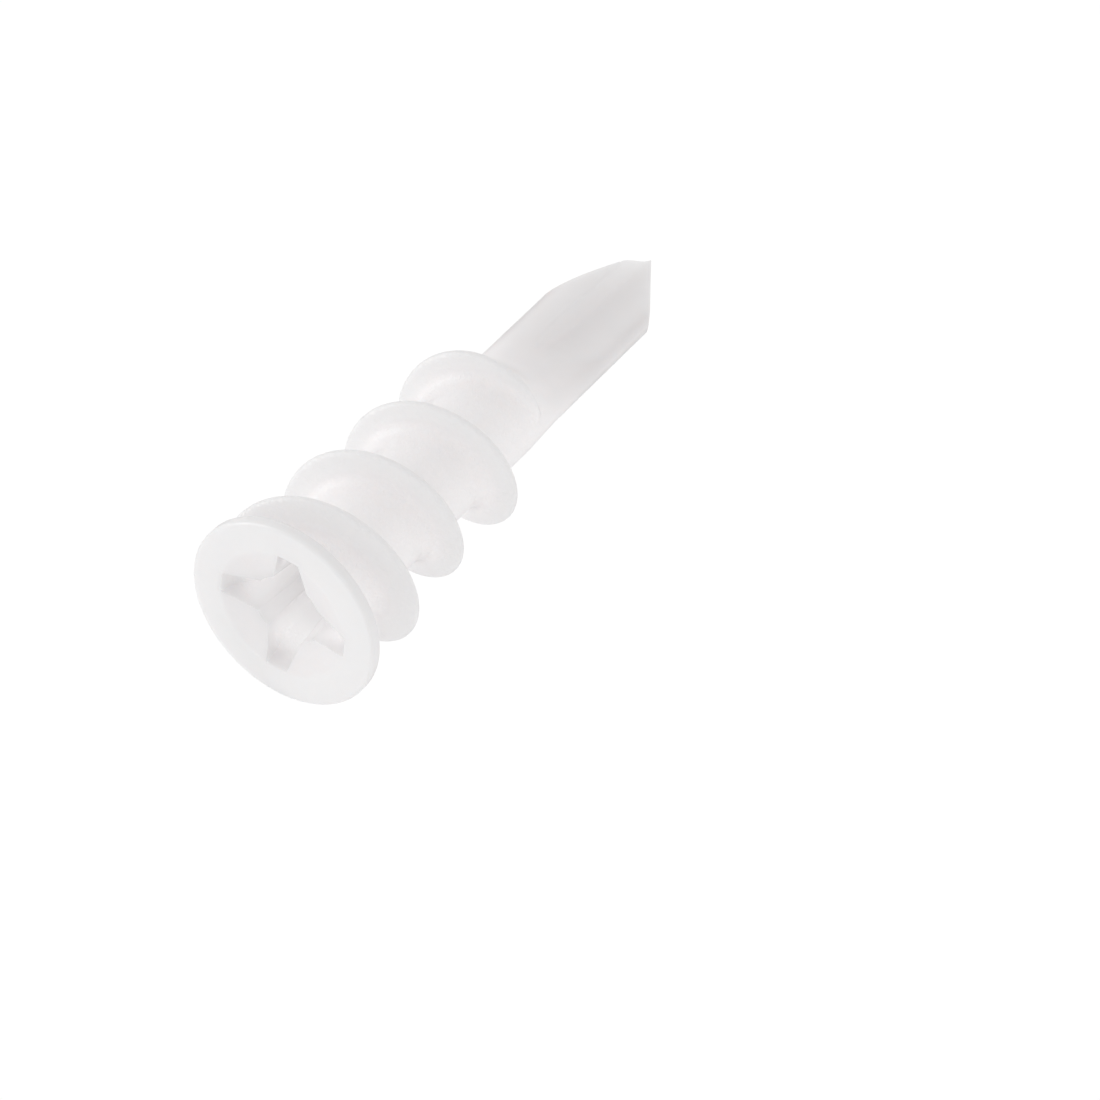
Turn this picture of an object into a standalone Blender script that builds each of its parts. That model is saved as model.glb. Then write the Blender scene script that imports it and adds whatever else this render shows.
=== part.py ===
"""Self-drilling nylon wall anchor, 13 mm head, 41 mm long.

The anchor is one injection moulding: a round head flange with a cross drive
recess, a round shank with a coarse right-hand thread, and a drill blade.

Frame: metres, +Z up. The anchor's axis lies along +Y, as it sits in a wall,
with the centre of the head's face at the origin and the tip at +Y. The wide
way of the blade and two arms of the recess lie along X.
"""
import math

import bmesh
import bpy
from mathutils import Matrix, Vector

MM = 0.001
TURN = 2.0 * math.pi

# Overall
TOTAL_LENGTH = 41.1 * MM
ROUND_STEPS = 48

# Head flange
HEAD_RADIUS = 6.5 * MM
RIM_THICKNESS = 0.8 * MM
RIM_ROUNDING = 0.3 * MM
BELL_END = 3.0 * MM
BELL_STEPS = 7

# Shank
SHANK_RADIUS = 3.27 * MM
SHANK_END = 25.0 * MM

# Drive recess
DISH_RADIUS = 4.5 * MM
DISH_DEPTH = 0.55 * MM
THROAT_RADIUS = 2.35 * MM
THROAT_END = 6.5 * MM
BORE_RADIUS = 1.6 * MM
BORE_END = 20.0 * MM
BORE_STEPS = 32
RECESS_ARMS = 4
ARM_END_HALF_WIDTH = 0.7 * MM
ARM_ROOT_HALF_WIDTH = 1.2 * MM
# How far an arm reaches from the axis, at each depth
ARM_DEPTHS = (0.0 * MM, 1.2 * MM, 2.0 * MM, 3.0 * MM, 6.0 * MM)
ARM_REACHES = (4.45 * MM, 3.8 * MM, 2.95 * MM, 2.6 * MM, 2.4 * MM)

# Thread, right-handed, measured along its crest
PITCH = 6.04 * MM
THREAD_START = 0.17
THREAD_END = 3.95
THREAD_OFFSET = -0.52 * MM
CREST_AT_HEAD = 6.1 * MM
CREST_AT_BLADE = 5.34 * MM
CREST_FALL_START = 1.1
CREST_FALL_END = 1.95
RUN_OUT_TURNS = 0.3
THREAD_STEPS_PER_TURN = 36
CREST_HALF_WIDTH = 0.2 * MM
CREST_SHOULDER = 0.3 * MM
FLANK_HALF_WIDTH = 0.42 * MM
FOOT_HALF_WIDTH = 1.0 * MM
FOOT_SINK = 0.3 * MM
FACE_CLEARANCE = 0.1 * MM

# Drill blade: an oval with a flute on each side, each beside a ridge
BLADE_HALF_WIDTH = 3.34 * MM
RIDGE_HEIGHT = 2.05 * MM
FLUTE_FLOOR = 0.85 * MM
RIDGE_FOOT = -0.2 * MM
RIDGE_CREST = -1.35 * MM
OVAL_LENGTH = 2.5 * MM
FLUTE_START = 25.6 * MM
FLUTE_LENGTH = 3.0 * MM
FLUTE_START_FOOT = 1.2 * MM
BLADE_RAMP_STEPS = 8
BLADE_SIDE_STEPS = 14
BLADE_OVERLAP = 1.0 * MM
SHANK_STEP = 0.2 * MM

# Slanted ends of the blade
POINT_OFFSET = 0.34 * MM
LONG_CUT = 7.0 * MM
LONG_CUT_LEAN = math.radians(15.0)
SHORT_CUT = 4.9 * MM
SHORT_CUT_LEAN = math.radians(-3.0)

# How far a cutter reaches past the surface that it cuts
OVERCUT = 1.0 * MM
CUTTER_SIZE = 24.0 * MM

NYLON_COLOUR = (0.86, 0.85, 0.84, 1.0)


def clear_scene():
    for thing in list(bpy.data.objects):
        bpy.data.objects.remove(thing, do_unlink=True)


def nylon_material():
    material = bpy.data.materials.new("white_nylon")
    material.use_nodes = True
    shader = material.node_tree.nodes["Principled BSDF"]
    shader.inputs["Base Color"].default_value = NYLON_COLOUR
    shader.inputs["Roughness"].default_value = 0.38
    shader.inputs["Metallic"].default_value = 0.0
    return material


def add_object(name, build):
    """Make an object from the solid that build() adds to an empty bmesh."""
    solid = bmesh.new()
    build(solid)
    bmesh.ops.recalc_face_normals(solid, faces=solid.faces[:])
    mesh = bpy.data.meshes.new(name)
    solid.to_mesh(mesh)
    solid.free()
    thing = bpy.data.objects.new(name, mesh)
    bpy.context.scene.collection.objects.link(thing)
    return thing


def add_tool(name, build):
    """Make an object that only shapes the anchor."""
    tool = add_object(name, build)
    tool.hide_render = True
    tool.display_type = "WIRE"
    return tool


def apply_tool(thing, tool, operation):
    modifier = thing.modifiers.new(tool.name, "BOOLEAN")
    modifier.operation = operation
    modifier.solver = "EXACT"
    modifier.object = tool


def turn_profile(solid, profile, steps=ROUND_STEPS):
    """Turn (y, radius) points about the Y axis. The ends lie on the axis."""
    points = [solid.verts.new((radius, y, 0.0)) for y, radius in profile]
    edges = [solid.edges.new(pair) for pair in zip(points, points[1:])]
    bmesh.ops.spin(solid, geom=points + edges, cent=(0, 0, 0), axis=(0, 1, 0),
                   angle=TURN, steps=steps, use_merge=True, use_duplicate=False)
    bmesh.ops.remove_doubles(solid, verts=solid.verts[:], dist=0.001 * MM)


def bridge_sections(solid, sections):
    """Join closed sections of equally many points and cap both ends."""
    rings = [[solid.verts.new(point) for point in section] for section in sections]
    count = len(rings[0])
    for ring, following in zip(rings, rings[1:]):
        for i in range(count):
            j = (i + 1) % count
            solid.faces.new((ring[i], ring[j], following[j], following[i]))
    solid.faces.new(rings[0])
    solid.faces.new(reversed(rings[-1]))
    bmesh.ops.triangulate(solid, faces=solid.faces[:])


def bell_radius(y):
    """Radius of the flange's hollow underside, from the rim to the shank."""
    fall = 1.0 - (y - RIM_THICKNESS) / (BELL_END - RIM_THICKNESS)
    sweep = 1.0 - math.sqrt(1.0 - fall * fall)
    return SHANK_RADIUS + (HEAD_RADIUS - SHANK_RADIUS) * sweep


def build_core(solid):
    """Head flange and shank."""
    profile = [(0.0, 0.0), (0.0, HEAD_RADIUS - RIM_ROUNDING)]
    profile += [(RIM_ROUNDING, HEAD_RADIUS), (RIM_THICKNESS, HEAD_RADIUS)]
    for step in range(1, BELL_STEPS + 1):
        y = RIM_THICKNESS + (BELL_END - RIM_THICKNESS) * step / BELL_STEPS
        profile.append((y, bell_radius(y)))
    profile += [(SHANK_END, SHANK_RADIUS), (SHANK_END, 0.0)]
    turn_profile(solid, profile)


def crest_radius(turns):
    """Crest radius of the thread after a number of turns from its origin."""
    fall = (turns - CREST_FALL_START) / (CREST_FALL_END - CREST_FALL_START)
    full = CREST_AT_HEAD + (CREST_AT_BLADE - CREST_AT_HEAD) * min(max(fall, 0.0), 1.0)
    left = min(1.0, (THREAD_END - turns) / RUN_OUT_TURNS)
    return SHANK_RADIUS + (full - SHANK_RADIUS) * math.sin(0.25 * TURN * left)


def thread_section(turns):
    """Points of the fin's section where the helix has made that many turns."""
    y = THREAD_OFFSET + PITCH * turns
    crest = crest_radius(turns)
    height = crest - SHANK_RADIUS
    foot = SHANK_RADIUS - FOOT_SINK
    shoulder = crest - min(CREST_SHOULDER, 0.5 * height)
    flank = SHANK_RADIUS + 0.35 * height
    outline = [
        (-FOOT_HALF_WIDTH, foot), (-FLANK_HALF_WIDTH, flank),
        (-CREST_HALF_WIDTH * 1.4, shoulder), (-CREST_HALF_WIDTH * 0.6, crest),
        (CREST_HALF_WIDTH * 0.6, crest), (CREST_HALF_WIDTH * 1.4, shoulder),
        (FLANK_HALF_WIDTH, flank), (FOOT_HALF_WIDTH, foot),
    ]
    angle = TURN * turns
    section = []
    for offset, radius in outline:
        place = max(y + offset, FACE_CLEARANCE)
        section.append(Vector((radius * math.cos(angle), place, -radius * math.sin(angle))))
    return section


def build_thread(solid):
    """The whole helical fin, from inside the flange to its run-out."""
    count = round((THREAD_END - THREAD_START) * THREAD_STEPS_PER_TURN)
    last = THREAD_END - 0.02
    turns = [THREAD_START + (last - THREAD_START) * i / count for i in range(count + 1)]
    bridge_sections(solid, [thread_section(turn) for turn in turns])


def build_bore(solid):
    """Dished mouth, throat and screw bore, as one turned cutter."""
    mouth = DISH_RADIUS + (DISH_RADIUS - THROAT_RADIUS) * OVERCUT / DISH_DEPTH
    profile = [(-OVERCUT, 0.0), (-OVERCUT, mouth), (DISH_DEPTH, THROAT_RADIUS)]
    profile += [(THROAT_END, BORE_RADIUS), (BORE_END, BORE_RADIUS)]
    profile.append((BORE_END + BORE_RADIUS, 0.0))
    turn_profile(solid, profile, steps=BORE_STEPS)


def cross_section(y, reach):
    """Cross outline of the recess at one depth, arms wider at their roots."""
    root = ARM_ROOT_HALF_WIDTH
    corners = [(root, -root), (reach, -ARM_END_HALF_WIDTH), (reach, ARM_END_HALF_WIDTH)]
    section = []
    for arm in range(RECESS_ARMS):
        turn = Matrix.Rotation(TURN * arm / RECESS_ARMS, 2)
        section += [turn @ Vector(corner) for corner in corners]
    return [Vector((point.x, y, point.y)) for point in section]


def build_cross(solid):
    """Cutter for the four arms, which draw in towards the bore with depth."""
    sections = [cross_section(-OVERCUT, ARM_REACHES[0])]
    sections += [cross_section(y, reach) for y, reach in zip(ARM_DEPTHS, ARM_REACHES)]
    bridge_sections(solid, sections)


def ease(y, start, length):
    """Smooth rise from 0 to 1 along the anchor."""
    part = min(max((y - start) / length, 0.0), 1.0)
    return part * part * (3.0 - 2.0 * part)


def half_width(y):
    """Half of the blade's wide way, which starts as the shank's radius."""
    return SHANK_RADIUS + (BLADE_HALF_WIDTH - SHANK_RADIUS) * ease(y, SHANK_END, OVAL_LENGTH)


def blade_top(x, y):
    """Height of the blade's upper side above its middle plane."""
    oval = ease(y, SHANK_END, OVAL_LENGTH)
    flute = ease(y, FLUTE_START, FLUTE_LENGTH)
    crest = SHANK_RADIUS + (RIDGE_HEIGHT - SHANK_RADIUS) * oval
    outside = crest * math.sqrt(max(0.0, 1.0 - (x / half_width(y)) ** 2))
    foot = FLUTE_START_FOOT + (RIDGE_FOOT - FLUTE_START_FOOT) * flute
    floor = SHANK_RADIUS + (FLUTE_FLOOR - SHANK_RADIUS) * flute
    wall = ease(foot - x, 0.0, RIDGE_FOOT - RIDGE_CREST)
    return min(outside, floor + (SHANK_RADIUS - floor) * wall)


def blade_section(y):
    """Outline of the blade: the lower side is the upper one turned half round."""
    upper = []
    for step in range(BLADE_SIDE_STEPS):
        x = -half_width(y) * math.cos(0.5 * TURN * step / BLADE_SIDE_STEPS)
        upper.append(Vector((x, y, blade_top(x, y))))
    return upper + [Vector((-point.x, y, -point.z)) for point in upper]


def build_blade(solid):
    """Blade from inside the shank to past its point, before its ends are cut."""
    start = SHANK_END + SHANK_STEP
    ramp = FLUTE_START + FLUTE_LENGTH - start
    inner = (SHANK_RADIUS - FOOT_SINK) / SHANK_RADIUS
    buried = SHANK_END - BLADE_OVERLAP
    sections = [[Vector((p.x * inner, buried, p.z * inner)) for p in blade_section(start)]]
    for step in range(BLADE_RAMP_STEPS + 1):
        sections.append(blade_section(start + ramp * step / BLADE_RAMP_STEPS))
    sections.append(blade_section(TOTAL_LENGTH + OVERCUT))
    bridge_sections(solid, sections)


def half_space(solid, point, normal):
    """A block whose one face passes through a point, square to a normal."""
    turn = normal.to_track_quat("Z", "Y").to_matrix().to_4x4()
    centre = Matrix.Translation(point + normal * (CUTTER_SIZE / 2.0))
    bmesh.ops.create_cube(solid, size=CUTTER_SIZE, matrix=centre @ turn)


def leaning(slope, angle):
    """Tip a level direction up by an angle."""
    return slope.normalized() * math.cos(angle) + Vector((0.0, 0.0, math.sin(angle)))


def build_long_cut(solid):
    """Cutter for the long slanted end of the blade, on the ridge's side."""
    tip = Vector((POINT_OFFSET, TOTAL_LENGTH, 0.0))
    slope = Vector((-LONG_CUT, POINT_OFFSET + BLADE_HALF_WIDTH, 0.0))
    half_space(solid, tip, leaning(slope, LONG_CUT_LEAN))


def build_short_cut(solid):
    """Cutter for the short slanted end, on the flute's side."""
    tip = Vector((POINT_OFFSET, TOTAL_LENGTH, 0.0))
    slope = Vector((SHORT_CUT, BLADE_HALF_WIDTH - POINT_OFFSET, 0.0))
    half_space(solid, tip, leaning(slope, SHORT_CUT_LEAN))


def build_anchor():
    anchor = add_object("anchor_body", build_core)
    apply_tool(anchor, add_tool("blade", build_blade), "UNION")
    apply_tool(anchor, add_tool("thread_fin", build_thread), "UNION")
    apply_tool(anchor, add_tool("bore_cutter", build_bore), "DIFFERENCE")
    apply_tool(anchor, add_tool("cross_cutter", build_cross), "DIFFERENCE")
    apply_tool(anchor, add_tool("long_cut_cutter", build_long_cut), "DIFFERENCE")
    apply_tool(anchor, add_tool("short_cut_cutter", build_short_cut), "DIFFERENCE")
    anchor.data.materials.append(nylon_material())
    anchor.data.shade_smooth()
    anchor.data.set_sharp_from_angle(angle=math.radians(40.0))
    return anchor


clear_scene()
build_anchor()
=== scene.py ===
"""Looks of the nylon wall anchor: one smooth translucent moulding on a pale floor.

Row frame: metres, +Z up. The anchor's axis lies along +Y, the head's face is at
y = 0 and the tip is at +Y. The wide way of the blade lies along X.
"""

import math

import bmesh
import bpy
import numpy as np
from mathutils import Matrix, Vector


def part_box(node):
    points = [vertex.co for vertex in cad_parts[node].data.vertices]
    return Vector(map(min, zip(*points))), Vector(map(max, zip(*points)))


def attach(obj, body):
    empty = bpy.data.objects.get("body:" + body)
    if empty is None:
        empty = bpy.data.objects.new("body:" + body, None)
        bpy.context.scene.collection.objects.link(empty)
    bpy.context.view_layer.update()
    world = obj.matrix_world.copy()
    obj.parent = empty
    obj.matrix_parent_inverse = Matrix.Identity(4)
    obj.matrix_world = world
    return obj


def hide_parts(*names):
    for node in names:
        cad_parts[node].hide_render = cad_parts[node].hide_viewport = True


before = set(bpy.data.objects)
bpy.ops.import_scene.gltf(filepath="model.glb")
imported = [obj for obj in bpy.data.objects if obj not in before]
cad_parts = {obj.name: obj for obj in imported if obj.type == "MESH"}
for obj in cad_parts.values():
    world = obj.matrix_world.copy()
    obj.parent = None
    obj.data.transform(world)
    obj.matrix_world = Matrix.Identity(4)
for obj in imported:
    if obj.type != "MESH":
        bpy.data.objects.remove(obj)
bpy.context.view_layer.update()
NODE = "anchor_body"
LOW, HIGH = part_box(NODE)

MM = 0.001
MERGE_DISTANCE = 1e-7
SAME_PLACE = 1e-9
SAME_ROW = 1e-8
CUT_DISTANCE = 1e-8
SHARP_ANGLE = math.radians(35.0)
TURN = 2.0 * math.pi
COLUMNS = 192

# Overall
TOTAL_LENGTH = HIGH.y
HEAD_RADIUS = HIGH.x

# Head flange
RIM_THICKNESS = 0.8 * MM
FRONT_ROUNDING = 0.22 * MM
BACK_ROUNDING = 0.14 * MM
BELL_END = 3.0 * MM
BELL_STEPS = 60
BACK_STEPS = 4
FRONT_STEPS = 6
FACE_RINGS = [r * MM for r in (6.0, 5.7, 5.4, 5.1, 4.9, 4.75)]

# Shank
SHANK_RADIUS = 3.27 * MM
SHANK_END = 25.0 * MM
SHANK_ROWS = np.arange(3.05, 60.0, 0.05) * MM

# Thread, right-handed, measured along its crest
PITCH = 6.04 * MM
THREAD_OFFSET = -0.52 * MM
THREAD_END = 3.95
THREAD_BLOCKS = 6
CREST_AT_HEAD = 6.1 * MM
CREST_AT_BLADE = 5.34 * MM
CREST_FALL_START = 1.1
CREST_FALL_END = 1.95
RUN_OUT_TURNS = 0.3
CREST_HALF = 0.24 * MM
FLANK_TAPER = 0.25 * MM
FLANK_SWEEP = 0.55 * MM
FOOT_FILLET = 0.55 * MM
BASE_ROWS = 16
CROWN_SHARE = 0.4
CROWN_STEPS = 5
FLANK_STEPS = 14
FLANK_CROWDING = 1.6
FIN_REFINEMENT = 24

# Drive recess
DISH_RADIUS = 4.45 * MM
DISH_DEPTH = 0.55 * MM
THROAT_RADIUS = 2.35 * MM
THROAT_END = 6.5 * MM
BORE_RADIUS = 1.6 * MM
BORE_MIDDLE = 13.0 * MM
BORE_END = 20.0 * MM
SOFT_FROM = 0.9 * MM
SOFT_RADIUS = 3.2 * MM
ARM_END_HALF = 0.72 * MM
ARM_ROOT_HALF = 1.2 * MM
ARM_ROOT_PLACE = 0.86
ARM_END_POINTS = 5
WALL_STEPS = 10
LOBE_STEPS = 10
HALVINGS = 40
ARM_END_ROUNDING = 0.1 * MM
ARM_DEPTHS = [m * MM for m in (0.0, 1.2, 2.0, 3.0, 6.0, 6.5)]
ARM_REACHES = [m * MM for m in (4.42, 4.1, 3.4, 2.7, 2.2, 1.5)]
DISH_ROWS = 15
DEPTHS_BELOW_DISH = [m * MM for m in (0.08, 0.2, 0.4, 0.7, 1.1, 1.6, 2.1, 2.7, 3.5, 4.3, 5.0)]

# Drill blade
BLADE_HALF_WIDTH = 3.34 * MM
RIDGE_HEIGHT = 2.05 * MM
FLUTE_FLOOR = 0.85 * MM
RIDGE_FOOT = 0.1 * MM
RIDGE_CREST = -1.3 * MM
BLADE_START = 22.8 * MM
OVAL_LENGTH = 3.2 * MM
FLUTE_LENGTH = 9.0 * MM
WALL_DRIFT = 0.04
WALL_MIDDLE = 31.0 * MM
RIDGE_ROUNDING = 0.7 * MM
SHOULDER_ROWS = np.arange(25.12, 29.5, 0.12)
BLADE_ROWS = np.arange(29.7, 42.2, 0.25)
BLADE_BEYOND = 42.5 * MM

# Slanted ends of the blade
POINT_OFFSET = 0.34 * MM
POINT_LENGTH = 41.1 * MM
POINT_LIFT = 0.25 * MM
POINT_LIFT_LENGTH = 3.0 * MM
LONG_CUT = 7.0 * MM
LONG_CUT_LEAN = math.radians(15.0)
SHORT_CUT = 4.9 * MM
SHORT_CUT_LEAN = math.radians(-3.0)

# Nylon
NYLON_COLOUR = (0.94, 0.925, 0.927)
BLADE_SHADE = 0.96
EDGE_SHADE = 0.8
GRAIN_PER_METRE = 5000.0
GRAIN_DEPTH = 0.1 * MM
SCATTER_IN_BORE = 3.0
# Painted shade within about 4.2 mm of the axis
PAINTED_SHADE_NEAR_AXIS = 0.965
# Painted glow: emission that stands in for light scattered through the nylon
DEPTH_GLOW = 0.14
FIN_GLOW = 0.02
BORE_GLOW = 0.5
SCATTER_DEPTH = 1.5 * MM
SCATTER_TINT = (1.0, 0.95, 0.92)
GLOW_TINT = (1.0, 0.995, 1.0, 1.0)
CLOUD_SCALE = 260.0
CLOUD_DETAIL = 3.0
CLOUD_FROM = 0.985
CLOUD_TO = 1.01
EDGE_BLEND = 0.5
GRAIN_DETAIL = 2.0
GRAIN_ROUGHNESS = 0.6
GRAIN_ON_BLADE = 0.12
GRAIN_ON_FACE = 0.25
BUMP_STRENGTH = 0.7
SHANK_ROUGHNESS = 0.33
BLADE_ROUGHNESS = 0.4

# Where the nylon changes, along the axis
GLOW_STARTS = (0.3 * MM, 1.6 * MM)
GLOW_ENDS = (22.0 * MM, 31.0 * MM)
GRAIN_STARTS = (0.5 * MM, 1.1 * MM)
POLISH_STARTS = (22.5 * MM, 25.5 * MM)
BLADE_DARKENS = (22.0 * MM, 29.0 * MM)

# Where it changes, outward from the axis
BORE_WALL = (2.5 * MM, 3.1 * MM)
BORE_GLOW_ENDS = (2.3 * MM, 3.1 * MM)
BORE_GRAIN_STARTS = (2.9 * MM, 3.25 * MM)
FIN_FOOT = (3.2 * MM, 4.8 * MM)
DISH_EDGE = (4.2 * MM, 4.6 * MM)

# Where it changes with other values
CLOUD_LEVELS = (0.3, 0.7)
GRAZING = (0.55, 1.0)

# Light
FLOOR_GREY = 0.9
FLOOR_ROUGHNESS = 0.9
FLOOR_GLOW = 0.2
HORIZON_LIGHT = 0.9
CEILING_LIGHT = 0.58
STUDIO_TINT = (1.0, 0.988, 0.99, 1.0)
FLOOR_SHOWN = 1.02
KEY = {"place": (-0.4, -0.27, 0.23), "size": 0.12, "power": 0.35}
GLINT = {"place": (-0.42, -0.3, 0.03), "size": 0.06, "power": 0.6}

# Camera
CAMERA_PLACE = Vector((108.29, -184.57, 209.94)) * MM
CAMERA_FORWARD = Vector((-0.32297, 0.65191, -0.68607))
CAMERA_UP = Vector((-0.44016, 0.53828, 0.71869))
CAMERA_LENS = 165.19
CAMERA_SENSOR = 36.0


def crest_radius(turns):
    """Crest radius of the thread after a number of turns from its origin."""
    fall = (turns - CREST_FALL_START) / (CREST_FALL_END - CREST_FALL_START)
    full = CREST_AT_HEAD + (CREST_AT_BLADE - CREST_AT_HEAD) * min(max(fall, 0.0), 1.0)
    left = min(1.0, max(0.0, (THREAD_END - turns) / RUN_OUT_TURNS))
    return SHANK_RADIUS + (full - SHANK_RADIUS) * math.sin(0.25 * TURN * left)


def flank_offset(share):
    """Half the fin's thickness at a share of its height, swept wide at the foot."""
    depth = 1.0 - share
    return (CREST_HALF + FLANK_TAPER * depth + FLANK_SWEEP * depth ** 4
            + FOOT_FILLET * depth ** 12)


def fin_profile(turns):
    """(offset along the axis, radius) points of the fin's section, foot to foot."""
    crest = crest_radius(turns)
    height = crest - SHANK_RADIUS
    crown = min(CREST_HALF, CROWN_SHARE * height)
    half = []
    for step in range(CROWN_STEPS):
        angle = 0.25 * TURN * step / CROWN_STEPS
        half.append((CREST_HALF * math.sin(angle), crest - crown * (1.0 - math.cos(angle))))
    top = 1.0 - crown / max(height, CREST_HALF)
    for step in range(FLANK_STEPS + 1):
        share = top * (1.0 - step / FLANK_STEPS) ** FLANK_CROWDING
        half.append((flank_offset(share), SHANK_RADIUS + share * height))
    back = np.array(half)
    front = back[:0:-1] * (-1.0, 1.0)
    return np.vstack((front, back))


def base_curve():
    """(y, radius) points of the flange's underside and the shank, rim to blade."""
    points = []
    for step in range(BELL_STEPS + 1):
        angle = 0.25 * TURN * (1.0 - step / BELL_STEPS)
        y = BELL_END - (BELL_END - RIM_THICKNESS) * math.sin(angle)
        reach = HEAD_RADIUS - BACK_ROUNDING - SHANK_RADIUS
        points.append((y, SHANK_RADIUS + reach * (1.0 - math.cos(angle))))
    points += [(y, SHANK_RADIUS) for y in SHANK_ROWS]
    return np.array(points)


BASE = base_curve()
BASE_LENGTH = np.concatenate(((0.0,), np.cumsum(np.hypot(*np.diff(BASE, axis=0).T))))


def base_radius(y):
    """Radius of the base at y; in front of the underside everything is inside."""
    return np.where(y < BASE[0, 0], 1.0, np.interp(y, BASE[:, 0], BASE[:, 1]))


def base_place(point):
    """Length along the base curve of the place nearest to a (y, radius) point."""
    return BASE_LENGTH[np.argmin(np.hypot(*(BASE - point).T))]


def refine(profile):
    """The profile's points with many more between them, and their step numbers."""
    steps = np.arange(len(profile))
    fine = np.linspace(0.0, len(profile) - 1.0, (len(profile) - 1) * FIN_REFINEMENT + 1)
    return fine, np.stack([np.interp(fine, steps, profile[:, axis]) for axis in (0, 1)], 1)


def clip_fin(profile, middle):
    """The fin's section points, with those under the base moved to where it ends."""
    fine, points = refine(profile + (middle, 0.0))
    seen = points[:, 1] > base_radius(points[:, 0]) + SAME_PLACE
    if not seen.any():
        crest = profile[:, 1].max()
        nearest = BASE[np.argmin(np.abs(BASE[:, 1] - crest) + (BASE[:, 0] > BELL_END))]
        if middle > BELL_END:
            return profile + (middle, 0.0)
        return np.tile(nearest, (len(profile), 1))
    shown = np.flatnonzero(seen)
    low, high = fine[max(shown[0] - 1, 0)], fine[min(shown[-1] + 1, len(fine) - 1)]
    places = np.clip(np.arange(len(profile), dtype=float), low, high)
    return np.stack([np.interp(places, fine, points[:, axis]) for axis in (0, 1)], 1)


def base_run(start, stop, count):
    """Points evenly along the base between two places on it, ends left out."""
    a, b = base_place(start), base_place(stop)
    places = np.linspace(a, b, count + 2)[1:-1]
    return np.stack([np.interp(places, BASE_LENGTH, BASE[:, axis]) for axis in (0, 1)], 1)


def column_outline(share):
    """(y, radius) points of the anchor's outline in the half plane at one angle."""
    fins = []
    for block in range(THREAD_BLOCKS):
        turns = block + share
        middle = THREAD_OFFSET + PITCH * turns
        fins.append(clip_fin(fin_profile(min(turns, THREAD_END)), middle))
    hidden = clip_fin(fin_profile(0.0), -PITCH)
    parts = [BASE[:1], hidden[:1]]
    before = hidden[-1]
    for fin in fins:
        parts += [base_run(before, fin[0], BASE_ROWS), fin]
        before = fin[-1]
    outline = np.vstack(parts)
    beyond = outline[:, 0] > SHANK_END
    outline[beyond] = (SHANK_END, SHANK_RADIUS)
    return outline


class Surface:
    """Collects the points and faces of one closed mesh."""

    def __init__(self):
        self.points = []
        self.faces = []

    def add(self, point):
        """Adds one point and gives its index."""
        self.points.append(tuple(point))
        return len(self.points) - 1

    def face(self, *corners):
        """Adds a face, leaving out corners that repeat and faces that fold flat."""
        kept = [c for i, c in enumerate(corners) if c != corners[i - 1]]
        if len(set(kept)) == len(kept) and len(kept) > 2:
            self.faces.append(kept)

    def ring(self, places):
        """Adds a ring of points; points in the same place become one."""
        ring = []
        for place in places:
            same = ring and math.dist(self.points[ring[-1]], place) < SAME_PLACE
            ring.append(ring[-1] if same else self.add(place))
        if math.dist(self.points[ring[0]], places[-1]) < SAME_PLACE:
            last = ring[-1]
            ring = [ring[0] if i == last else i for i in ring]
        return ring

    def bridge(self, ring, following):
        """Joins two rings with four-sided faces."""
        count = len(ring)
        for i in range(count):
            j = (i + 1) % count
            self.face(ring[i], ring[j], following[j], following[i])

    def close(self, ring, point):
        """Closes a ring with a fan to one point."""
        tip = self.add(point)
        for i in range(len(ring)):
            self.face(ring[i], ring[(i + 1) % len(ring)], tip)


def column_direction(column):
    """Direction (x, z) of a column of points round the axis."""
    angle = TURN * column / COLUMNS
    return math.cos(angle), -math.sin(angle)


def turned(column, y, radius):
    """A point round the axis; beyond the blade's start the circle becomes its section."""
    x, z = column_direction(column)
    if y <= BLADE_START:
        return radius * x, y, radius * z
    side = math.copysign(1.0, z)
    top = blade_top(side * x * half_width(y), y) if abs(z) > SAME_PLACE else 0.0
    return (radius * x * half_width(y) / SHANK_RADIUS, y,
            side * top * radius / SHANK_RADIUS)


def build_thread(surface):
    """Flange underside, shank and thread. Returns its first and last ring."""
    columns = []
    for column in range(COLUMNS):
        indices = []
        last = None
        for y, radius in column_outline(column / COLUMNS):
            if last is None or abs(y - last[0]) + abs(radius - last[1]) > SAME_ROW:
                indices.append(surface.add(turned(column, y, radius)))
            else:
                indices.append(indices[-1])
            last = (y, radius)
        columns.append(indices)
    rows = len(columns[0])
    block = (rows - 2) // THREAD_BLOCKS
    first = columns[0]
    wrapped = first[:2] + first[2 + block:] + [first[-1]] * block
    for column in range(COLUMNS):
        here = columns[column]
        there = columns[column + 1] if column + 1 < COLUMNS else wrapped
        for row in range(rows - 1):
            surface.face(here[row], here[row + 1], there[row + 1], there[row])
    return [c[0] for c in columns], [c[-1] for c in columns]


def circle(y, radius):
    """A ring of points round the axis."""
    return [turned(column, y, radius) for column in range(COLUMNS)]


def rim_rings():
    """Rings round the flange from its back edge to the flat face."""
    places = []
    for step in range(1, BACK_STEPS + 1):
        angle = 0.25 * TURN * step / BACK_STEPS
        places.append((RIM_THICKNESS - BACK_ROUNDING * (1.0 - math.cos(angle)),
                       HEAD_RADIUS - BACK_ROUNDING * (1.0 - math.sin(angle))))
    for step in range(FRONT_STEPS + 1):
        angle = 0.25 * TURN * step / FRONT_STEPS
        places.append((FRONT_ROUNDING * (1.0 - math.sin(angle)),
                       HEAD_RADIUS - FRONT_ROUNDING * (1.0 - math.cos(angle))))
    places += [(0.0, radius) for radius in FACE_RINGS]
    return [circle(y, radius) for y, radius in places]


def smooth_max(a, b, width):
    """The larger value, rounded where the two are within a width."""
    near = max(width - abs(a - b), 0.0)
    return max(a, b) + near * near / (4.0 * width)


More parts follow.
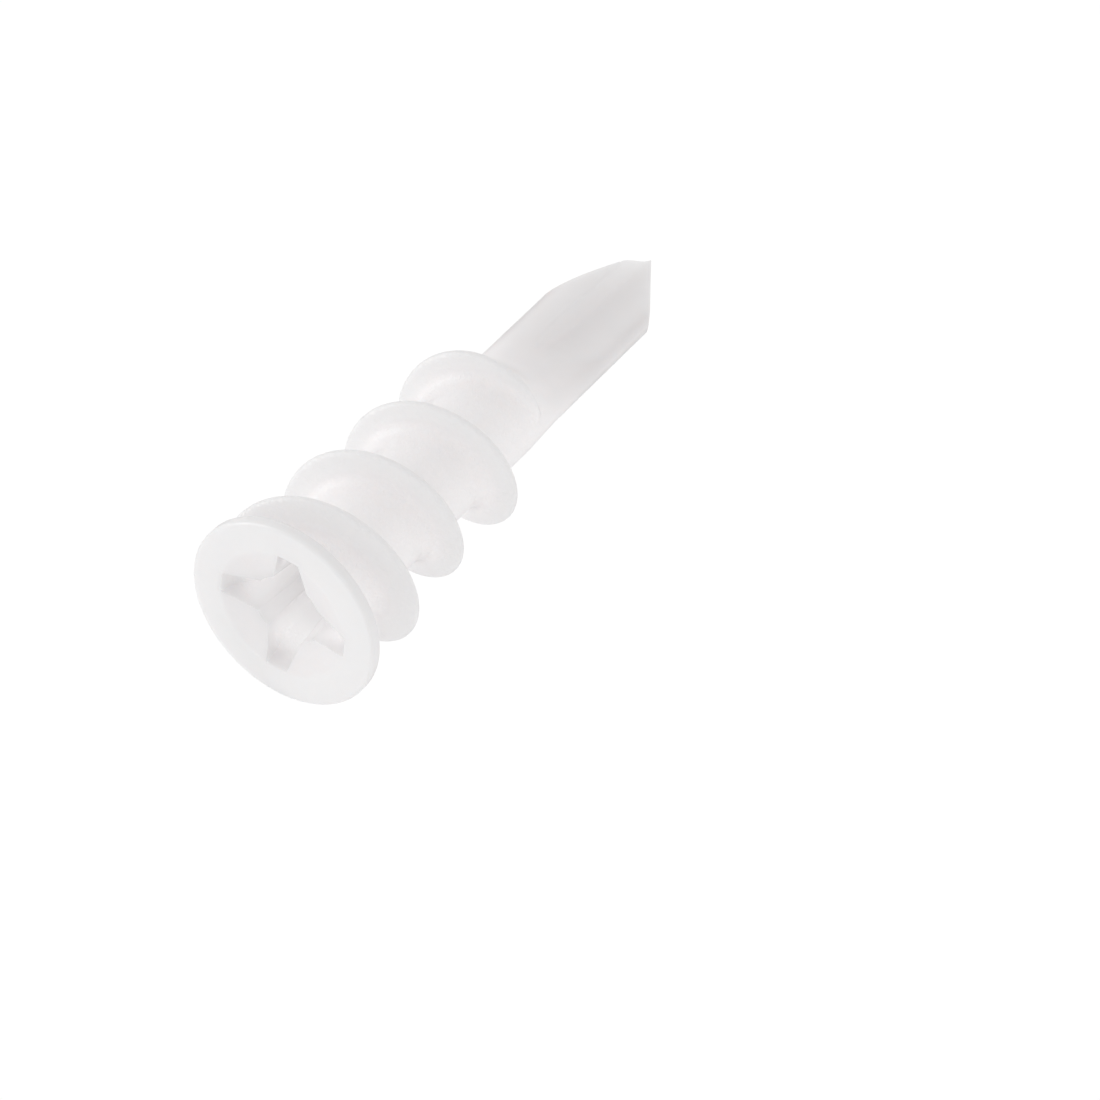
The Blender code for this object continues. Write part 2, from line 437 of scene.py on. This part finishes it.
def lobe_radius(y):
    """Radius of the recess between its arms."""
    if y < DISH_DEPTH:
        part = y / DISH_DEPTH
        return DISH_RADIUS + (THROAT_RADIUS - DISH_RADIUS) * part
    part = min(1.0, (y - DISH_DEPTH) / (THROAT_END - DISH_DEPTH))
    return THROAT_RADIUS + (BORE_RADIUS - THROAT_RADIUS) * part


def arm_shape(y):
    """(reach, half width at the end, half width at the root) of an arm."""
    return np.interp(y, ARM_DEPTHS, ARM_REACHES), ARM_END_HALF, ARM_ROOT_HALF


def recess_sector(y):
    """Points of an eighth of the recess's outline, from an arm's middle to a lobe's."""
    reach, end, root = arm_shape(y)
    lobe = lobe_radius(y)
    corner = Vector((reach, end))
    if lobe >= corner.length:
        meet = corner.normalized() * lobe
        corner = meet.copy()
        points = [Vector((lobe * math.cos(a), lobe * math.sin(a)))
                  for a in np.linspace(0.0, math.atan2(corner.y, corner.x),
                                   ARM_END_POINTS)]
    else:
        inner = Vector((THROAT_RADIUS * ARM_ROOT_PLACE, root))
        low, high = 0.0, 1.0
        for _ in range(HALVINGS):
            mid = 0.5 * (low + high)
            outside = corner.lerp(inner, mid).length > lobe
            low, high = (mid, high) if outside else (low, mid)
        meet = corner.lerp(inner, low)
        points = []
        for z in np.linspace(0.0, end, ARM_END_POINTS):
            round_lobe = math.sqrt(max(lobe ** 2 - z ** 2, 0.0))
            points.append(Vector((smooth_max(reach, round_lobe, ARM_END_ROUNDING), z)))
    points += [corner.lerp(meet, step / WALL_STEPS) for step in range(1, WALL_STEPS + 1)]
    start = math.atan2(meet.y, meet.x)
    for step in range(1, LOBE_STEPS + 1):
        angle = start + (TURN / 8.0 - start) * step / LOBE_STEPS
        points.append(Vector((lobe * math.cos(angle), lobe * math.sin(angle))))
    return points


def recess_ring(y):
    """The recess's whole outline at one depth."""
    half = recess_sector(y)
    mirrored = [Vector((p.y, p.x)) for p in half[-2:0:-1]]
    sector = half + mirrored
    ring = []
    for arm in range(4):
        turn = Matrix.Rotation(-TURN * arm / 4.0, 2)
        for point in sector:
            placed = turn @ Vector((point.x, -point.y))
            ring.append((placed.x, y, placed.y))
    return ring


def build_recess(surface, ring):
    """Drive recess and screw bore, inward from the face's innermost ring."""
    dish = np.linspace(0.0, 1.0, DISH_ROWS) * DISH_DEPTH
    for y in np.concatenate((dish, DISH_DEPTH + np.array(DEPTHS_BELOW_DISH))):
        following = surface.ring(recess_ring(y))
        surface.bridge(ring, following)
        ring = following
    for y, radius in ((THROAT_END, BORE_RADIUS), (BORE_MIDDLE, BORE_RADIUS),
                      (BORE_END, BORE_RADIUS)):
        following = surface.ring(circle(y, radius))
        surface.bridge(ring, following)
        ring = following
    surface.close(ring, (0.0, BORE_END + BORE_RADIUS, 0.0))


def ease(y, start, length):
    """Smooth step from 0 at the start to 1 a length further on."""
    part = min(max((y - start) / length, 0.0), 1.0)
    return part * part * (3.0 - 2.0 * part)


def smooth_min(a, b, width):
    """The smaller value, rounded where the two are within a width."""
    near = max(width - abs(a - b), 0.0)
    return min(a, b) - near * near / (4.0 * width)


def half_width(y):
    """Half of the blade's wide way, which starts as the shank's radius."""
    oval = ease(y, BLADE_START, OVAL_LENGTH)
    return SHANK_RADIUS + (BLADE_HALF_WIDTH - SHANK_RADIUS) * oval


def blade_top(x, y):
    """Height of the blade's upper side above its middle plane."""
    oval = ease(y, BLADE_START, OVAL_LENGTH)
    flute = ease(y, BLADE_START, FLUTE_LENGTH)
    crest = SHANK_RADIUS + (RIDGE_HEIGHT - SHANK_RADIUS) * oval
    outside = crest * math.sqrt(max(0.0, 1.0 - (x / half_width(y)) ** 2))
    above = SHANK_RADIUS + RIDGE_ROUNDING
    floor = above + (FLUTE_FLOOR - above) * flute
    floor += POINT_LIFT * ease(y, POINT_LENGTH - POINT_LIFT_LENGTH, POINT_LIFT_LENGTH)
    foot = RIDGE_FOOT + WALL_DRIFT * (y - WALL_MIDDLE)
    wall = ease(foot - x, 0.0, RIDGE_FOOT - RIDGE_CREST)
    inside = floor + (above - floor) * wall
    return max(0.0, smooth_min(outside, inside, RIDGE_ROUNDING))


def build_blade(surface, ring):
    """Blade from the shank's last ring to past its point."""
    for y in np.concatenate((SHOULDER_ROWS, BLADE_ROWS)) * MM:
        following = surface.ring(circle(y, SHANK_RADIUS))
        surface.bridge(ring, following)
        ring = following
    surface.close(ring, (0.0, BLADE_BEYOND, 0.0))


def leaning(slope, angle):
    """Tip a level direction up by an angle."""
    return slope.normalized() * math.cos(angle) + Vector((0.0, 0.0, math.sin(angle)))


def cut_end(mesh, point, normal):
    """Cut the blade with a plane and close the cut."""
    parts = mesh.verts[:] + mesh.edges[:] + mesh.faces[:]
    cut = bmesh.ops.bisect_plane(mesh, geom=parts, plane_co=point, plane_no=normal,
                                 clear_outer=True, dist=CUT_DISTANCE)
    edges = [part for part in cut["geom_cut"] if isinstance(part, bmesh.types.BMEdge)]
    bmesh.ops.edgenet_fill(mesh, edges=edges)


def soften_bore(mesh):
    """Deep in the recess the moulding's edges are blurred: shade across them."""
    for edge in mesh.edges:
        ends = [mesh.vertices[index].co for index in edge.vertices]
        if all(SOFT_FROM < end.y < BORE_END and math.hypot(end.x, end.z) < SOFT_RADIUS
               for end in ends):
            edge.use_edge_sharp = False


def build_anchor():
    """The whole moulding as one closed mesh, with the blade's ends cut."""
    surface = Surface()
    front, back = build_thread(surface)
    ring = front
    for places in rim_rings():
        following = surface.ring(places)
        surface.bridge(ring, following)
        ring = following
    build_recess(surface, ring)
    build_blade(surface, back)
    mesh = bpy.data.meshes.new("anchor_moulding")
    mesh.from_pydata(surface.points, [], surface.faces)
    solid = bmesh.new()
    solid.from_mesh(mesh)
    bmesh.ops.remove_doubles(solid, verts=solid.verts[:], dist=MERGE_DISTANCE)
    bmesh.ops.dissolve_degenerate(solid, edges=solid.edges[:], dist=MERGE_DISTANCE)
    tip = Vector((POINT_OFFSET, POINT_LENGTH, 0.0))
    slope = Vector((-LONG_CUT, POINT_OFFSET + BLADE_HALF_WIDTH, 0.0))
    cut_end(solid, tip, leaning(slope, LONG_CUT_LEAN))
    slope = Vector((SHORT_CUT, BLADE_HALF_WIDTH - POINT_OFFSET, 0.0))
    cut_end(solid, tip, leaning(slope, SHORT_CUT_LEAN))
    cut_end(solid, Vector((0.0, TOTAL_LENGTH, 0.0)), Vector((0.0, 1.0, 0.0)))
    bmesh.ops.recalc_face_normals(solid, faces=solid.faces[:])
    solid.to_mesh(mesh)
    solid.free()
    thing = bpy.data.objects.new("anchor_moulding", mesh)
    bpy.context.scene.collection.objects.link(thing)
    mesh.shade_smooth()
    mesh.set_sharp_from_angle(angle=SHARP_ANGLE)
    soften_bore(mesh)
    return thing


def node(tree, kind, **values):
    """A new node with its inputs set by name."""
    made = tree.nodes.new(kind)
    for name, value in values.items():
        made.inputs[name.replace("_", " ")].default_value = value
    return made


def ramp(tree, source, low, high, start, end):
    """Smooth change from low to high as the source goes from start to end."""
    made = tree.nodes.new("ShaderNodeMapRange")
    made.interpolation_type = "SMOOTHSTEP"
    for name, value in (("From Min", start), ("From Max", end),
                        ("To Min", low), ("To Max", high)):
        made.inputs[name].default_value = value
    tree.links.new(source, made.inputs["Value"])
    return made.outputs["Result"]


def product(tree, first, second):
    """Two outputs multiplied."""
    made = tree.nodes.new("ShaderNodeMath")
    made.operation = "MULTIPLY"
    tree.links.new(first, made.inputs[0])
    tree.links.new(second, made.inputs[1])
    return made.outputs["Value"]


def nylon():
    """Natural nylon: grained where the mould was eroded, polished on the blade; painted glow
    and painted shade near the axis.
    """
    material = bpy.data.materials.new("white_nylon")
    material.use_nodes = True
    tree = material.node_tree
    link = tree.links.new
    shader = tree.nodes["Principled BSDF"]
    shader.inputs["Subsurface Weight"].default_value = 1.0
    shader.inputs["Subsurface Radius"].default_value = SCATTER_TINT
    coords = tree.nodes.new("ShaderNodeTexCoord").outputs["Object"]
    split = tree.nodes.new("ShaderNodeSeparateXYZ")
    link(coords, split.inputs["Vector"])
    along = split.outputs["Y"]

    flat = tree.nodes.new("ShaderNodeVectorMath")
    flat.operation = "MULTIPLY"
    flat.inputs[1].default_value = (1.0, 0.0, 1.0)
    link(coords, flat.inputs[0])
    radius = tree.nodes.new("ShaderNodeVectorMath")
    radius.operation = "LENGTH"
    link(flat.outputs["Vector"], radius.inputs[0])
    outward = radius.outputs["Value"]
    inside = ramp(tree, outward, SCATTER_IN_BORE * SCATTER_DEPTH, SCATTER_DEPTH, *BORE_WALL)
    link(inside, shader.inputs["Subsurface Scale"])

    cloud = node(tree, "ShaderNodeTexNoise", Scale=CLOUD_SCALE, Detail=CLOUD_DETAIL)
    link(coords, cloud.inputs["Vector"])
    milky = ramp(tree, cloud.outputs["Fac"], CLOUD_FROM, CLOUD_TO, *CLOUD_LEVELS)
    blade = ramp(tree, along, 1.0, BLADE_SHADE, *BLADE_DARKENS)
    # Known fault: this shades the colour by the view, not by the surface
    edge = node(tree, "ShaderNodeLayerWeight", Blend=EDGE_BLEND)
    facing = ramp(tree, edge.outputs["Facing"], 1.0, EDGE_SHADE, *GRAZING)
    # Painted shade: darker within about 4.2 mm of the axis, in the recess, on the shank, at
    # the fins' feet and on the blade
    dish = ramp(tree, outward, PAINTED_SHADE_NEAR_AXIS, 1.0, *DISH_EDGE)
    shade = product(tree, product(tree, product(tree, milky, blade), facing), dish)
    colour = tree.nodes.new("ShaderNodeVectorMath")
    colour.operation = "SCALE"
    colour.inputs[0].default_value = NYLON_COLOUR
    link(shade, colour.inputs["Scale"])
    link(colour.outputs["Vector"], shader.inputs["Base Color"])

    # Painted glow: emission that stands in for light scattered through the nylon, strongest
    # on the shank, weaker in the bore and on the fins, none on the face, fading out along the
    # blade
    painted_glow = ramp(tree, outward, DEPTH_GLOW, FIN_GLOW, *FIN_FOOT)
    painted_glow = product(tree, painted_glow, ramp(tree, along, 0.0, 1.0, *GLOW_STARTS))
    painted_glow = product(tree, painted_glow, ramp(tree, along, 1.0, 0.0, *GLOW_ENDS))
    painted_glow = product(tree, painted_glow, ramp(tree, outward, BORE_GLOW, 1.0, *BORE_GLOW_ENDS))
    shader.inputs["Emission Color"].default_value = GLOW_TINT
    link(painted_glow, shader.inputs["Emission Strength"])

    grained = ramp(tree, along, 1.0, GRAIN_ON_BLADE, *POLISH_STARTS)
    face = ramp(tree, along, GRAIN_ON_FACE, 1.0, *GRAIN_STARTS)
    grain = node(tree, "ShaderNodeTexNoise", Scale=GRAIN_PER_METRE,
                 Detail=GRAIN_DETAIL, Roughness=GRAIN_ROUGHNESS)
    link(coords, grain.inputs["Vector"])
    depth = product(tree, product(tree, grain.outputs["Fac"], grained), face)
    depth = product(tree, depth, ramp(tree, outward, 0.0, 1.0, *BORE_GRAIN_STARTS))
    bump = node(tree, "ShaderNodeBump", Strength=BUMP_STRENGTH, Distance=GRAIN_DEPTH)
    link(depth, bump.inputs["Height"])
    link(bump.outputs["Normal"], shader.inputs["Normal"])
    rough = ramp(tree, along, SHANK_ROUGHNESS, BLADE_ROUGHNESS, *POLISH_STARTS)
    link(rough, shader.inputs["Roughness"])
    return material


def add_camera():
    """A long lens above the head and in front of it, looking down along the anchor."""
    data = bpy.data.cameras.new("camera")
    data.sensor_width = CAMERA_SENSOR
    data.lens = CAMERA_LENS
    data.clip_start = 0.01
    data.clip_end = 10.0
    camera = bpy.data.objects.new("camera", data)
    back = -CAMERA_FORWARD.normalized()
    right = CAMERA_UP.cross(back).normalized()
    up = back.cross(right)
    turn = Matrix((right, up, back)).transposed().to_4x4()
    camera.matrix_world = Matrix.Translation(CAMERA_PLACE) @ turn
    bpy.context.scene.collection.objects.link(camera)
    bpy.context.scene.camera = camera


def add_floor():
    """A plain white floor that the camera sees evenly lit, as on a light table."""
    mesh = bpy.data.meshes.new("floor")
    corners = [(x, y, LOW.z) for x, y in ((-1, -1), (1, -1), (1, 1), (-1, 1))]
    mesh.from_pydata(corners, [], [(0, 1, 2, 3)])
    floor = bpy.data.objects.new("floor", mesh)
    bpy.context.scene.collection.objects.link(floor)
    material = bpy.data.materials.new("floor")
    material.use_nodes = True
    tree = material.node_tree
    shader = tree.nodes["Principled BSDF"]
    shader.inputs["Base Color"].default_value = (FLOOR_GREY, FLOOR_GREY, FLOOR_GREY, 1.0)
    shader.inputs["Roughness"].default_value = FLOOR_ROUGHNESS
    shader.inputs["Emission Color"].default_value = (1.0, 1.0, 1.0, 1.0)
    shader.inputs["Emission Strength"].default_value = FLOOR_GLOW
    glow = tree.nodes.new("ShaderNodeEmission")
    glow.inputs["Strength"].default_value = FLOOR_SHOWN
    path = tree.nodes.new("ShaderNodeLightPath")
    mix = tree.nodes.new("ShaderNodeMixShader")
    tree.links.new(path.outputs["Is Camera Ray"], mix.inputs["Fac"])
    tree.links.new(shader.outputs["BSDF"], mix.inputs[1])
    tree.links.new(glow.outputs["Emission"], mix.inputs[2])
    tree.links.new(mix.outputs["Shader"], tree.nodes["Material Output"].inputs["Surface"])
    mesh.materials.append(material)


def add_light(name, place, size, power):
    """A round soft light that faces the anchor's head."""
    data = bpy.data.lights.new(name, "AREA")
    data.shape = "DISK"
    data.size = size
    data.energy = power
    light = bpy.data.objects.new(name, data)
    light.location = place
    light.rotation_mode = "QUATERNION"
    light.rotation_quaternion = Vector(place).to_track_quat("Z", "Y")
    bpy.context.scene.collection.objects.link(light)
    return light


def add_world():
    """An overcast studio: brighter at the horizon than at the ceiling."""
    world = bpy.data.worlds.new("studio")
    world.use_nodes = True
    tree = world.node_tree
    tree.nodes["Background"].inputs["Color"].default_value = STUDIO_TINT
    coords = tree.nodes.new("ShaderNodeTexCoord")
    split = tree.nodes.new("ShaderNodeSeparateXYZ")
    level = tree.nodes.new("ShaderNodeMapRange")
    level.inputs["To Min"].default_value = HORIZON_LIGHT
    level.inputs["To Max"].default_value = CEILING_LIGHT
    tree.links.new(coords.outputs["Generated"], split.inputs["Vector"])
    tree.links.new(split.outputs["Z"], level.inputs["Value"])
    tree.links.new(level.outputs["Result"], tree.nodes["Background"].inputs["Strength"])
    bpy.context.scene.world = world


anchor = build_anchor()
anchor.data.materials.append(nylon())
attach(anchor, "root")
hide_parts(NODE)
add_camera()
add_floor()
add_world()
add_light("key", **KEY)
# The glint only makes highlights
add_light("glint", **GLINT).visible_diffuse = False
bpy.context.scene.view_settings.view_transform = "Standard"
